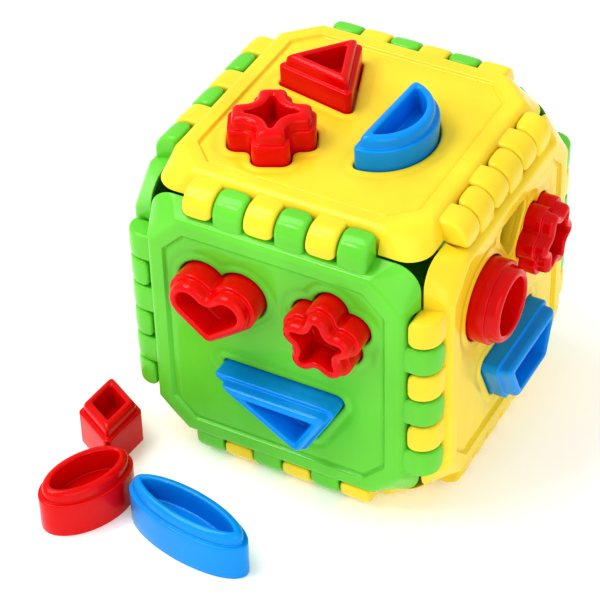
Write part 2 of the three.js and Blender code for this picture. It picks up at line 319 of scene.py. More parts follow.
def half_disc(radius, bulge, corner):
    """A slightly flat half disc with two filleted corners, shifted to its middle."""
    height = math.sqrt((radius - corner) ** 2 - corner**2)
    opening = math.atan2(height, corner)
    points = np.vstack([
        arc(0, 0, radius, -opening, opening, 60),
        arc(corner, height, corner, opening, math.pi, 12)[1:],
        arc(corner, -height, corner, math.pi, TAU - opening, 12)[:-1],
    ])
    return points * (bulge / radius, 1) - (radius * 0.45, 0)


def plus(reach, arm, corner):
    """A plus sign with every corner rounded."""
    quarter = np.array([[reach, -arm], [reach, arm], [arm, arm]])
    return rounded_polygon(np.vstack([quarter @ turn for turn in quarter_turns()]), corner)


OUTLINES = {
    "heart": heart(10.5, 8.5, 20, 4),
    "flower": petals(5, 17, 11.8, TAU / 4),
    "wedge": rounded_polygon([[-32.5, 10.2], [9.8, -17.2], [25.5, 10.2]], (1.2, 3, 3)),
    "triangle": rounded_polygon([[0, 22.2], [-19.2, -11.1], [19.2, -11.1]], 2),
    "cross": plus(17.4, 7.6, 3.8),
    "half_disc": half_disc(24, 22, 2.5),
    "ring": ellipse(17.3, 17.3),
    "star": petals(6, 16.5, 12.2, 0),
    "trapezium": rounded_polygon([[26, 12.5], [-26, 12.5], [-14, -12.5], [17, -12.5]], 3),
    "diamond": rounded_polygon([[20.5, 0], [0, 13.3], [-20.5, 0], [0, -13.3]], 2),
    "oval": ellipse(21.5, 12.8),
    "long_oval": ellipse(29.9, 11),
    "shield": rounded_polygon([[14.5, 7.5], [-14.5, 7.5], [0, -15]], 4),
}
OUTLINE_POINTS = 208
OUTLINES = {name: resample(points, OUTLINE_POINTS) for name, points in OUTLINES.items()}


def inside(points, outline):
    """Whether each point lies in a closed outline: an even-odd count of the edges that a ray
    along x crosses."""
    a, b = outline, np.roll(outline, -1, 0)
    x, y = points[:, None, 0], points[:, None, 1]
    rise = np.where(b[:, 1] == a[:, 1], 1e-12, b[:, 1] - a[:, 1])
    spans = (a[:, 1] > y) != (b[:, 1] > y)
    crossed = spans & (x < a[:, 0] + (b[:, 0] - a[:, 0]) * (y - a[:, 1]) / rise)
    return crossed.sum(1) % 2 == 1


def depth(points, outline):
    """Distance from each point to the nearest edge of an outline, positive inside it."""
    a, ab = outline, np.roll(outline, -1, 0) - outline
    rel = points[:, None] - a
    t = np.clip((rel * ab).sum(-1) / (ab**2).sum(-1), 0, 1)
    near = np.linalg.norm(rel - t[..., None] * ab, axis=-1).min(1)
    return np.where(inside(points, outline), near, -near)


class DistanceField:
    """Signed distance to one outline, positive inside, kept on a square grid.

    Between grid points it is the bilinear mix of the four around it. Beyond the grid it is
    the value at the nearest grid point less the way to that point.
    """

    REACH, STEP = 45.0, 0.3

    def __init__(self, outline):
        line = np.arange(-self.REACH, self.REACH + self.STEP, self.STEP)
        grid = np.stack(np.meshgrid(line, line, indexing="ij"), -1).reshape(-1, 2)
        chunks = np.array_split(grid, 24)
        self.values = np.concatenate([depth(c, outline) for c in chunks]).reshape(len(line), -1)

    def at(self, points):
        """The distance at each point, by the bilinear mix."""
        limit = self.REACH - self.STEP
        held = np.clip(points, -limit, limit)
        cell = (held + self.REACH) / self.STEP
        low = np.floor(cell).astype(int)
        x, y = (cell - low)[..., 0], (cell - low)[..., 1]
        i, j, v = low[..., 0], low[..., 1], self.values
        near = v[i, j] * (1 - x) * (1 - y) + v[i + 1, j] * x * (1 - y)
        far = v[i, j + 1] * (1 - x) * y + v[i + 1, j + 1] * x * y
        return near + far - np.linalg.norm(points - held, axis=-1)


FIELDS = {name: DistanceField(outline) for name, outline in OUTLINES.items()}


def offsets(shape, insets):
    """A shape's outline moved inwards by each inset: every point slides along its ray from
    the origin until it lies that deep, found by halving. Negative insets move it outwards."""
    outline, field = OUTLINES[shape], FIELDS[shape]
    insets = np.asarray(insets, float)
    size = np.linalg.norm(outline, axis=1)
    way = outline / size[:, None]
    low = np.zeros((len(insets), len(outline)))
    high = size + np.maximum(0, -2.5 * insets)[:, None] + low
    for _ in range(18):
        middle = (low + high) / 2
        deeper = field.at(middle[..., None] * way) > insets[:, None]
        low, high = np.where(deeper, middle, low), np.where(deeper, high, middle)
    moved = (low + high)[..., None] / 2 * way
    moved[insets == 0] = outline
    return moved


def clearance(points, holes, gap):
    """Distance from each point to the edge of the nearest hole, negative inside a hole."""
    return np.min([
        -FIELDS[shape].at(unturned(points, turn, x, y)) - gap for shape, x, y, turn, *_ in holes
    ], 0)


def turned(points, angle, x, y):
    """Points turned by an angle in degrees and moved to (x, y)."""
    a = math.radians(angle)
    spin = np.array([[math.cos(a), math.sin(a)], [-math.sin(a), math.cos(a)]])
    return points @ spin + (x, y)


def unturned(points, angle, x, y):
    """The points before they were turned by an angle in degrees and moved to (x, y)."""
    return turned(points - (x, y), -angle, 0, 0)


# ------------------------------------------------------------------ meshes
class Shells:
    """Closed shells gathered into one mesh: arrays of points and of faces that index them."""

    def __init__(self):
        self.points, self.faces, self.total = [], [], 0

    def add(self, points, *faces):
        """Adds one shell, with its faces as arrays of quads or triangles."""
        points = np.asarray(points, float).reshape(-1, 3)
        self.points.append(points)
        self.faces.extend(np.asarray(f, int) + self.total for f in faces if len(f))
        self.total += len(points)

    def object(self, name, axes, origin):
        """The mesh object, with x, y, level put on the given axes from an origin in mm."""
        points = (np.vstack(self.points) @ np.array(axes, float) + origin) * MM + CENTRE
        mesh = bpy.data.meshes.new(name)
        mesh.vertices.add(len(points))
        mesh.vertices.foreach_set("co", points.astype(np.float32).ravel())
        corners = np.concatenate([f.ravel() for f in self.faces])
        sizes = np.concatenate([np.full(len(f), f.shape[1]) for f in self.faces])
        mesh.loops.add(len(corners))
        mesh.loops.foreach_set("vertex_index", corners.astype(np.int32))
        mesh.polygons.add(len(sizes))
        starts = np.concatenate([[0], np.cumsum(sizes)[:-1]])
        mesh.polygons.foreach_set("loop_start", starts.astype(np.int32))
        mesh.update(calc_edges=True)
        mesh.validate()
        mesh.shade_smooth()
        mesh.set_sharp_from_angle(angle=math.radians(38))
        piece = bpy.data.objects.new(name, mesh)
        bpy.context.scene.collection.objects.link(piece)
        return piece


def strip(rows, count, closed=False):
    """Quads between successive rings of count points, numbered row by row."""
    r = np.arange(rows if closed else rows - 1)[:, None] * count
    nxt = (r + count) % (rows * count)
    i = np.arange(count)
    j = (i + 1) % count
    return np.stack([r + i, r + j, nxt + j, nxt + i], -1).reshape(-1, 4)


def fan(first, count, hub, flip=False):
    """Triangles from a ring of count points, starting at first, to a hub."""
    i = np.arange(count)
    a, b = first + i, first + (i + 1) % count
    pair = (b, a) if flip else (a, b)
    return np.stack([*pair, np.full(count, hub)], 1)


def closed_stack(rings):
    """Rings of equal length joined into a closed shell, with a hub at each end."""
    rows, count = rings.shape[:2]
    hubs = np.stack([rings[0].mean(0), rings[-1].mean(0)])
    points = np.vstack([rings.reshape(-1, 3), hubs])
    last = (rows - 1) * count
    first_hub, last_hub = rows * count, rows * count + 1
    return points, strip(rows, count), fan(0, count, first_hub, True), fan(last, count, last_hub)


# ------------------------------------------------------------------ blocks
def bend(x, y, radius, start, end, steps=6):
    """A quarter or part of a turn in a block's section, angles in degrees."""
    return arc(x, y, radius, math.radians(start), math.radians(end), steps)


def block_section(b):
    """A block's wall as [inset, height] from the roof of its hollow underside, down and round
    the foot, up the body, over the step and the round rim, and down to the cavity's floor."""
    body, step, crest, top = mm(b, "body"), mm(b, "step"), mm(b, "crest"), mm(b, "height")
    cavity, floor, web, wall = mm(b, "cavity"), mm(b, "floor"), mm(b, "web"), mm(b, "wall")
    radius = crest - step - 0.2
    lip = cavity - crest - 0.2
    return np.vstack([
        bend(wall + 1.2, web - 0.9, 0.9, 90, 180, 4),
        [[wall + 0.1, web / 2]],
        bend(wall - 0.4, 0.4, 0.4, 0, -90, 3),
        bend(0.6, 0.6, 0.6, -90, -180, 4),
        [[0, body * 0.35], [0, body * 0.7]],
        bend(0.7, body - 0.7, 0.7, 180, 90, 5),
        bend(step - 0.4, body + 0.4, 0.4, -90, 0, 4),
        [[step + 0.1, body + 1.6]],
        bend(crest, top - radius, radius, 180, 90, 9),
        bend(crest, top - lip, lip, 90, 12, 6)[1:],
        [[cavity - 0.1, (top + floor) / 2 + 1], [cavity + 0.1, (top + floor) / 2 - 1.5]],
        bend(cavity + 1.1, floor + 0.8, 0.8, 180, 270, 5),
    ])


# Some rims lie further in than others, as a multiple of their width.
RIM_SPREAD = {"cross": 1.35}


def block_rings(shape, b):
    """The section carried round the outline, closed by rings that shrink towards the middle."""
    section = block_section(b)
    spread = RIM_SPREAD.get(shape, 1) - 1
    section[:, 0] += spread * np.maximum(section[:, 0] - mm(b, "step") - 0.3, 0)
    flat = offsets(shape, section[:, 0])
    for place, (inset, _) in enumerate(section):
        if inset > 0.8:
            flat[place] = soften(flat[place], 0.95 if inset < mm(b, "crest") + 0.3 else 0.6)
    height = np.broadcast_to(section[:, 1, None, None], (*flat.shape[:2], 1))
    rings = np.concatenate([flat, height], -1)
    inward = np.array([0.15, 0.4, 0.7])[:, None, None]
    roof = rings[0] * np.concatenate([inward, inward, inward * 0 + 1], -1)
    floor = rings[-1] * np.concatenate([inward, inward, inward * 0 + 1], -1)
    return np.concatenate([roof, rings, floor[::-1]])


def make_block(name, shape, axes, origin, turn, finish, settings):
    """One block, turned about its own axis and stood at its place."""
    rings = block_rings(shape, settings)
    rings[..., :2] = turned(rings[..., :2], turn, 0, 0)
    shells = Shells()
    shells.add(*closed_stack(rings))
    return dress(shells.object(name, axes, origin), finish)


# ------------------------------------------------------------------ panels
# Stations along one edge, and how far from its middle they end, short of the chamfer.
EDGE_COLUMNS = 92
EDGE_END = 40.4
# Places along an edge, in pitches: this panel's own fingers, and the next panels' fingers.
FINGER_PLACES = (-1.5, 0.5, 2.5)
POCKET_PLACES = (2.5, 0.5, -1.5)
# A pocket lies only in the band of the side wall beyond this distance from the middle.
POCKET_BAND = 45
# The flat top of the ridge starts this far inside the ridge's outer edge.
RIDGE_WIDTH = 2.6
# Where rows lie: down the side wall as parts of its height, across the frame's inner edge
# as distances from it, and round a hole as distances from its edge.
WALL_ROWS = (0.4, 0.55, 0.7, 0.82, 0.92)
FRAME_ROWS = np.array([-1.0, -0.55, -0.25, 0, 0.3, 0.6, 0.9, 1.4])
FRAME_COARSE_ROWS = (3, 5)
HOLE_ROWS = (0, 0.12, 0.35, 0.7, 1.1, 1.6, 2.1, 2.6, 3.2, 3.9, 4.7, 5.5, 6.3)
# Past this half width the hollow side is drawn in, to stay inside the sloping wall.
HOLLOW_HALF, HOLLOW_SQUEEZE = 47, 0.72
# Twice the area, in square mm, under which a triangle on a straight rim is a sliver.
SLIVER = 1e-3


def octagon_reach(points, p):
    """Half width of the octagon of the ridge's family that passes through each point: the
    greater of |x|, |y| and (|x| + |y|) / sqrt 2 less a constant."""
    half, chamfer = mm(p, "ridge_half"), mm(p, "ridge_chamfer")
    shift = (2 * half - chamfer) / math.sqrt(2) - half
    x, y = np.abs(points[:, 0]), np.abs(points[:, 1])
    return np.maximum(np.maximum(x, y), (x + y) / math.sqrt(2) - shift)


def edge_stations():
    """Places along an edge, with close pairs where a pocket begins and ends."""
    borders = (np.arange(7) - 3) * PITCH
    pairs = np.concatenate([borders - 0.12, borders + 0.12])
    even = np.linspace(-EDGE_END, EDGE_END, EDGE_COLUMNS - len(pairs))
    return np.sort(np.concatenate([even, pairs]))


def corner_path(half, chamfer, radius, blend):
    """One corner, from the end of one edge's stations to the start of the next: a straight
    run, a chamfer that turns into a round corner as blend goes from 0 to 1, a straight run."""
    t = np.linspace(0, 1, 14)[:, None]
    cut = np.array([half, half - chamfer]) * (1 - t) + np.array([half - chamfer, half]) * t
    a = t * TAU / 4
    round_ = half - radius + radius * np.concatenate([np.cos(a), np.sin(a)], 1)
    middle = cut * (1 - blend) + round_ * blend
    lead = np.linspace(0, 1, 10)[:-1, None]
    first = np.array([half, EDGE_END]) * (1 - lead) + middle[0] * lead
    last = middle[-1] * (1 - lead) + np.array([EDGE_END, half]) * lead
    return np.vstack([first[1:], middle, last[1:]])


def perimeter(half, chamfer, radius, blend):
    """A ring round the panel: four straight edges joined by four corners."""
    at = edge_stations()
    edge = np.stack([np.full(len(at), half), at], 1)
    quarter = np.vstack([edge, corner_path(half, chamfer, radius, blend)])
    return np.einsum("ni,kij->knj", quarter, quarter_turns()).reshape(-1, 2)


def family(half, p):
    """The ridge's parallel octagon of another half width, as a ring."""
    chamfer = mm(p, "ridge_chamfer") + (half - mm(p, "ridge_half")) * (2 - math.sqrt(2))
    return perimeter(half, chamfer, 0, 0)


def cut_pockets(ring, p):
    """Keeps a ring out of the next panels' fingers: in each pocket's span the distance from
    the middle is held to the pocket's half width, on all four edges."""
    limit = mm(p, "pocket_half")
    for axis, side in ((0, 1), (1, 1), (0, -1), (1, -1)):
        along = ring[:, 1 - axis] * side * (1 if axis == 0 else -1)
        place = along / PITCH
        inside = np.zeros(len(ring), bool)
        for middle in POCKET_PLACES:
            inside |= np.abs(place - middle) < 0.5
        inside &= ring[:, axis] * side > POCKET_BAND
        ring[inside, axis] = np.minimum(ring[inside, axis] * side, limit) * side
    return ring


def side_wall(p):
    """Rings from the ridge, over its rounded edge, down the sloping wall to the foot and up
    inside. Each ring is a mix of the ridge's octagon and the foot's round square; the two
    rounded edges are quadratic curves between the neighbouring rings."""
    top, foot = mm(p, "frame_level"), mm(p, "foot_level")
    half, chamfer = mm(p, "ridge_half"), mm(p, "ridge_chamfer")
    foot_half, radius = mm(p, "foot_half"), mm(p, "tip_radius")

    def slope(f):
        """The wall's ring at the part f of its height, from the ridge to the foot."""
        ring = perimeter(half, chamfer, 0, 0) * (1 - f) + perimeter(foot_half, 0, radius, 1) * f
        return np.column_stack([ring, np.full(len(ring), top + (foot - top) * f)])

    def curve(a, b, c, steps):
        """Rings along the quadratic curve from a to c that b pulls towards itself."""
        t = np.linspace(0, 1, steps + 1)[:, None, None]
        return (1 - t) ** 2 * a + 2 * t * (1 - t) * b + t * t * c

    start = np.column_stack([family(half - RIDGE_WIDTH, p), np.full(len(slope(0)), top)])
    inside = np.column_stack([perimeter(foot_half - 4.6, 0, 3, 1), np.full(len(start), foot + 0.4)])
    low = np.column_stack([perimeter(foot_half - 1.2, 0, radius - 1, 1), np.full(len(start), foot)])
    rings = np.concatenate([
        curve(start, slope(0), slope(0.28), 9),
        np.stack([slope(f) for f in WALL_ROWS]),
        curve(slope(0.95), slope(1), low, 5),
        inside[None],
    ])
    for ring in rings[5:-1]:
        ring[:, :2] = cut_pockets(ring[:, :2], p)
    return rings


def field_heights(points, holes, p):
    """Level of the panel's outer face as a function of x and y.

    Round a hole, with d the distance from its edge: a quarter round, a soft lip, then a
    valley that falls and rises as a squared sine. Across the frame's inner edge, with s the
    octagon's half width: a narrow groove and a smooth step up.
    """
    d = np.maximum(clearance(points, holes, mm(p, "hole_gap")), 0)
    lip, wide, deep = mm(p, "lip_width"), mm(p, "valley_width"), mm(p, "valley_depth")
    edge, lip_height = 0.7, 0.15
    groove_depth, groove_shift, groove_width, step_width = 0.35, 0.25, 0.45, 0.9
    level = -(edge - np.sqrt(np.maximum(edge**2 - (edge - np.clip(d, 0, edge)) ** 2, 0)))
    level += lip_height * np.sin(np.pi * np.clip(d / lip, 0, 1)) ** 2
    level -= deep * np.sin(np.pi * np.clip((d - lip) / wide, 0, 1) ** 0.7) ** 2
    s = octagon_reach(points, p)
    rise = np.clip((s - mm(p, "field_half")) / step_width, 0, 1)
    rise = rise * rise * (3 - 2 * rise)
    off = (s - mm(p, "field_half") + groove_shift) / groove_width
    groove = groove_depth * np.exp(-(off ** 2))
    step = mm(p, "frame_level") - mm(p, "field_level")
    return mm(p, "field_level") + level * (1 - rise) - groove + step * rise


def field_points(holes, rims, p):
    """Points over the panel's outer face, and the loops that its triangles must follow.

    Rows run parallel to each hole and to the frame's octagon where the face bends, and a
    square grid fills the flat parts.
    """
    gap, field = mm(p, "hole_gap"), mm(p, "field_half")
    octagons = [resample(family(h, p), 330) for h in field + FRAME_ROWS]
    octagons += [resample(family(field + out, p), 250) for out in FRAME_COARSE_ROWS]
    rows = []
    for out, row in rims:
        keep = (clearance(row, holes, gap) > out - 0.12) & (octagon_reach(row, p) < field - 1.25)
        rows.append(row[keep])
    line = np.arange(-46, 46.1, 1.9)
    grid = np.stack(np.meshgrid(line, line), -1).reshape(-1, 2)
    grid = grid[(clearance(grid, holes, gap) > 7.0) & (octagon_reach(grid, p) < field - 2)]
    clear = [row[clearance(row, holes, gap) > 0.35] for row in octagons]
    return np.vstack([*clear, *rows, grid])


def triangulated(loops, extra):
    """A constrained Delaunay triangulation inside the first loop and outside the others.

    Slivers between the points of the first loop's straight runs are left out. Gives its
    points, its triangles and, for each loop, the numbers of its points."""
    points = np.vstack([*loops, extra])
    first = np.cumsum([0] + [len(loop) for loop in loops])
    edges = np.vstack([
        np.stack([np.arange(n), (np.arange(n) + 1) % n], 1) + start
        for n, start in zip([len(loop) for loop in loops], first)
    ])
    out = delaunay_2d_cdt(points.tolist(), edges.tolist(), [], 0, 1e-4)
    flat = np.array(out[0])
    triangles = np.array(out[2])
    sizes = np.fromiter(map(len, out[3]), int)
    given = np.fromiter(chain.from_iterable(out[3]), int)
    number = np.zeros(len(points), int)
    number[given] = np.repeat(np.arange(len(sizes)), sizes)
    middle = flat[triangles].mean(1)
    hole = np.any([inside(middle, loop) for loop in loops[1:]], 0)
    ab, ac = (flat[triangles[:, k]] - flat[triangles[:, 0]] for k in (1, 2))
    thin = np.abs(ab[:, 0] * ac[:, 1] - ab[:, 1] * ac[:, 0]) < SLIVER
    rim = np.isin(triangles, number[:first[1]]).all(1)
    triangles = triangles[~hole & ~(thin & rim)]
    used, triangles = np.unique(triangles, return_inverse=True)
    number = np.searchsorted(used, number)
    return flat[used], triangles.reshape(-1, 3), [number[s:e] for s, e in zip(first[:-1], first[1:])]


def plate(holes, mouths, rims, p):
    """The panel's main shell: outer face, hole walls, hollow side and sloping side wall."""
    wall = side_wall(p)
    loops = [wall[0, :, :2], *mouths]
    extra = field_points(holes, rims, p)
    flat, triangles, numbers = triangulated(loops, extra)
    count = len(flat)
    outer = np.column_stack([flat, field_heights(flat, holes, p)])
    reach = octagon_reach(flat, p)
    drawn_in = HOLLOW_HALF + (reach - HOLLOW_HALF) * HOLLOW_SQUEEZE
    squeeze = np.where(reach > HOLLOW_HALF, drawn_in, reach) / np.maximum(reach, 1e-9)
    inner = np.column_stack([flat * squeeze[:, None], np.full(count, mm(p, "inner_level"))])
    wall = wall[1:]
    rows, ring = wall.shape[:2]
    points = np.vstack([outer, inner, wall.reshape(-1, 3)])
    base = 2 * count
    rim = numbers[0]
    after = np.roll(rim, -1)
    i = np.arange(ring)
    j = (i + 1) % ring
    last = base + (rows - 1) * ring
    faces = [
        triangles,
        triangles[:, ::-1] + count,
        np.stack([rim, base + i, base + j, after], 1),
        strip(rows, ring)[:, ::-1] + base,
        np.stack([last + i, rim + count, after + count, last + j], 1),
    ]
    for hole in numbers[1:]:
        nxt = np.roll(hole, -1)
        faces.append(np.stack([hole, nxt, nxt + count, hole + count], 1))
    return points, *faces


def collar(shape, place, p):
    """A guide collar: a rounded rectangular section carried round a hole's outline."""
    gap, wall = mm(p, "hole_gap"), mm(p, "collar_wall")
    low, high = mm(p, "collar_level"), mm(p, "inner_level") + 0.6
    section = np.array([
        [0.02, high - 0.8], [0.0, low + 0.5], [0.15, low + 0.15], [0.5, low], [wall - 0.5, low],
        [wall - 0.15, low + 0.15], [wall, low + 0.5], [wall, high], [0.4, high],
    ])
    flat = offsets(shape, -gap - section[:, 0])
    flat = turned(flat, *place)
    level = np.broadcast_to(section[:, 1, None, None], (*flat.shape[:2], 1))
    rings = np.concatenate([flat, level], -1)
    return rings.reshape(-1, 3), strip(len(section), flat.shape[1], True)


def finger_rings(f, p):
    """One finger on the +y edge: a rounded box section carried from the side wall, round
    the bend and down to the next panel's wall.

    Each station joins a point on an inner line to one on the outer line. The section is a
    rectangle with two quarter rounds and a cosine crown; its width and height shrink as
    quarter rounds towards the tip.
    """
    level, radius, stop = mm(f, "level"), mm(f, "bend"), mm(f, "stop")
    soft, tip, crown, half = mm(f, "soft"), mm(f, "tip"), mm(f, "crown"), mm(f, "width") / 2
    turn = level - radius
    inner = mm(p, "foot_level") + 0.3
    root = np.stack([np.linspace(mm(f, "root"), turn, 6), np.full(6, level)], 1)
    over = arc(turn, turn, radius, TAU / 4, 0, 14)[1:]
    ease = 1 - np.linspace(0, 1, 16)[1:] ** 0.6
    down = np.stack([np.full(15, level), stop + (turn - stop) * ease], 1)
    outer = np.vstack([root, over, down])
    inside = np.vstack([
        np.stack([np.linspace(mm(f, "root"), inner - 0.6, 6), np.full(6, inner)], 1),
        np.stack([np.linspace(inner - 0.6, inner, 15)[1:], np.linspace(inner, inner - 0.6, 15)[1:]], 1),
        np.stack([np.full(15, inner), stop + (inner - 0.6 - stop) * ease], 1),
    ])
    thick = np.linalg.norm(outer - inside, axis=1)
    left = outer[:, 1] - stop
    left[: len(root) + len(over)] = 99

    def rounding(size):
        """How much a quarter round of that size takes off near the tip."""
        near = np.clip(size - left, 0, size)
        return size - np.sqrt(np.maximum(size**2 - near**2, 0))

    wide = (half - rounding(tip))[:, None]
    tall = (thick - rounding(1.3))[:, None]
    a = np.linspace(0, TAU / 4, 7)
    across = np.linspace(1, -1, 11)[1:-1]
    x = np.concatenate([wide, wide - soft + soft * np.cos(a), (wide - soft) * across,
                        -(wide - soft + soft * np.cos(a[::-1])), -wide], 1)
    v = np.concatenate([wide * 0, tall - soft + soft * np.sin(a), tall + 0 * across,
                        tall - soft + soft * np.sin(a[::-1]), wide * 0], 1)
    v += crown * np.cos(x / wide * TAU / 4) * (v > tall - soft)
    way = (outer - inside) / thick[:, None]
    y = inside[:, :1] + v * way[:, :1]
    z = inside[:, 1:] + v * way[:, 1:]
    return np.stack([x, y, z], -1)[:, ::-1]


def add_fingers(shells, f, p):
    """Fingers in the second, fourth and sixth place of each edge, clockwise from outside."""
    rings = finger_rings(f, p)
    points, *faces = closed_stack(rings)
    for turn in quarter_turns():
        spin = np.eye(3)
        spin[:2, :2] = turn.T
        for place in FINGER_PLACES:
            shells.add((points + (place * PITCH, 0, 0)) @ spin, *faces)


def make_panel(side, finish, p, f):
    """One panel with its plate, collars and fingers."""
    gap = mm(p, "hole_gap")
    mouths, rims = [], []
    shells = Shells()
    for shape, x, y, turn, _, _ in HOLES[side]:
        moved = turned(offsets(shape, [-gap - out for out in HOLE_ROWS]), turn, x, y)
        mouths.append(moved[0])
        rims.extend(zip(HOLE_ROWS[1:], moved[1:]))
    shells.add(*plate(HOLES[side], mouths, rims, p))
    for shape, x, y, turn, _, _ in HOLES[side]:
        shells.add(*collar(shape, (turn, x, y), p))
    add_fingers(shells, f, p)
    return dress(shells.object(f"moulded_panel_{side}", PANEL_AXES[side], 0), finish)


# ------------------------------------------------------------------ materials
# Noise scales of the moulded plastic's colour drift, gloss, orange peel and rubs.
FLOW_SCALE, GLOSS_SCALE, PEEL_SCALE, RUB_SCALE = 34, 120, 520, 300


def noise(tree, coords, scale, detail, stretch=(1, 1, 1)):
    """A noise texture on stretched object coordinates."""
    mapping = tree.nodes.new("ShaderNodeMapping")
    mapping.inputs["Scale"].default_value = stretch
    texture = tree.nodes.new("ShaderNodeTexNoise")
    texture.inputs["Scale"].default_value = scale
    texture.inputs["Detail"].default_value = detail
    tree.links.new(coords, mapping.inputs["Vector"])
    tree.links.new(mapping.outputs["Vector"], texture.inputs["Vector"])
    return texture.outputs["Fac"]


def remap(tree, value, low, high):
    """A value from 0 to 1 taken to the range from low to high."""
    node = tree.nodes.new("ShaderNodeMapRange")
    node.inputs["From Min"].default_value = 0.3
    node.inputs["From Max"].default_value = 0.7
    node.inputs["To Min"].default_value = low
    node.inputs["To Max"].default_value = high
    tree.links.new(value, node.inputs["Value"])
    return node.outputs["Result"]


def moulded_plastic(name, base, roughness):
    """Glossy moulded plastic: slow colour drift from the moulding flow, uneven gloss, a fine
    orange-peel surface and a few hair-line rubs from handling."""
    material = bpy.data.materials.new(name)
    material.use_nodes = True
    tree = material.node_tree
    shader = tree.nodes["Principled BSDF"]
    coords = tree.nodes.new("ShaderNodeTexCoord").outputs["Object"]
    ramp = tree.nodes.new("ShaderNodeValToRGB")
    dark = [c * 0.9 for c in base]
    light = [min(1, c * 1.05 + 0.004) for c in base]
    ramp.color_ramp.elements[0].position, ramp.color_ramp.elements[1].position = 0.3, 0.72
    ramp.color_ramp.elements[0].color = (*dark, 1)
    ramp.color_ramp.elements[1].color = (*light, 1)
    tree.links.new(noise(tree, coords, FLOW_SCALE, 3, (1, 1, 0.4)), ramp.inputs["Fac"])
    tree.links.new(ramp.outputs["Color"], shader.inputs["Base Color"])
    gloss = remap(tree, noise(tree, coords, GLOSS_SCALE, 4), roughness - 0.05, roughness + 0.07)
    tree.links.new(gloss, shader.inputs["Roughness"])
    peel = tree.nodes.new("ShaderNodeBump")
    peel.inputs["Strength"].default_value = 0.12
    peel.inputs["Distance"].default_value = 0.00012
    tree.links.new(noise(tree, coords, PEEL_SCALE, 2), peel.inputs["Height"])
    rubs = tree.nodes.new("ShaderNodeBump")
    rubs.inputs["Strength"].default_value = 0.05
    rubs.inputs["Distance"].default_value = 0.00005
    tree.links.new(noise(tree, coords, RUB_SCALE, 2, (0.15, 6, 1)), rubs.inputs["Height"])
    tree.links.new(peel.outputs["Normal"], rubs.inputs["Normal"])
    tree.links.new(rubs.outputs["Normal"], shader.inputs["Normal"])
    shader.inputs["IOR"].default_value = 1.5
    shader.inputs["Specular IOR Level"].default_value = 0.28
    shader.inputs["Coat Weight"].default_value = 0.1
    shader.inputs["Coat Roughness"].default_value = 0.08
    return material


def finish_for(name):
    """The plastic of one colour, made once and shared by every piece of that colour."""
    settings = bpy.context.scene.sorter_colours
    key = f"{name}_moulded_plastic"
    if key in bpy.data.materials:
        return name, bpy.data.materials[key]
    return name, moulded_plastic(key, tuple(getattr(settings, name)), settings.roughness)


def dress(piece, finish):
    """Gives a piece its material."""
    name, material = finish
    piece.data.materials.append(material)
    return piece


# ------------------------------------------------------------------ operators
# Lights: (name, place from the cube's centre in metres, side in metres, power setting).
LIGHTS = (
    ("key_light", (-0.55, -0.15, 1.1), 0.7, "key_power"),
    ("window_light_1", (-0.62 - 0.16, -0.75, 1.0), 0.2, "window_power"),
    ("window_light_2", (-0.62 + 0.16, -0.75, 1.0), 0.2, "window_power"),
    ("fill_light", (0.9, -0.9, 0.6), 1.0, "fill_power"),
)
# The camera's right and down directions, and its place from the cube's centre in mm.
CAMERA_RIGHT = (0.88321, 0.46843, -0.02269)
CAMERA_DOWN = (0.28850, -0.58085, -0.76117)
CAMERA_PLACE = (355.73, -687.85, 636.95)


class OBJECT_OT_sorter_panels(bpy.types.Operator):
    """Makes the cube's six panels and puts the top one on the lid's body"""

    bl_idname = "object.sorter_panels"
    bl_label = "Make Panels"

    def execute(self, context):
        scene = context.scene
        for side in PANEL_AXES:
            finish = finish_for(PANEL_COLOUR[side])
            piece = make_panel(side, finish, scene.sorter_panels, scene.sorter_fingers)
            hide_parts(f"panel_{side}")
            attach(piece, "lid" if side == "top" else "cube")
        return {"FINISHED"}


class OBJECT_OT_sorter_seated_blocks(bpy.types.Operator):
    """Makes the nine blocks that stand in the holes"""

    bl_idname = "object.sorter_seated_blocks"
    bl_label = "Make Blocks in Holes"

    def execute(self, context):
        settings = context.scene.sorter_blocks
        for side in ("front", "right", "top"):
            axes = np.array(PANEL_AXES[side], float)
            level = mm(context.scene.sorter_panels, "field_level") - mm(settings, f"depth_{side}")
            for shape, x, y, turn, name, hue in HOLES[side]:
                if name is None:
                    continue
                origin = np.array([x, y, level]) @ axes
                piece = make_block(f"moulded_{name}", shape, axes, origin, turn, finish_for(hue), settings)
                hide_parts(name)
                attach(piece, name)
        return {"FINISHED"}


class OBJECT_OT_sorter_loose_blocks(bpy.types.Operator):
    """Makes the three blocks that lie beside the cube"""

    bl_idname = "object.sorter_loose_blocks"
    bl_label = "Make Loose Blocks"

    def execute(self, context):
        settings = context.scene.sorter_blocks
        floor = -mm(context.scene.sorter_panels, "frame_level")
        for name, shape, x, y, turn, hue in LOOSE:
            origin = (x, y, floor)
            piece = make_block(f"moulded_{name}", shape, np.eye(3), origin, turn, finish_for(hue), settings)
            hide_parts(name)
            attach(piece, name)
        return {"FINISHED"}


def area_light(name, place, target, size, power):
    """A square soft light at a place in metres, turned to its target."""
    data = bpy.data.lights.new(name, "AREA")
    data.shape = "SQUARE"
    data.size = size
    data.energy = power
    lamp = bpy.data.objects.new(name, data)
    bpy.context.scene.collection.objects.link(lamp)
    lamp.location = place
    lamp.rotation_euler = (Vector(target) - Vector(place)).to_track_quat("-Z", "Y").to_euler()


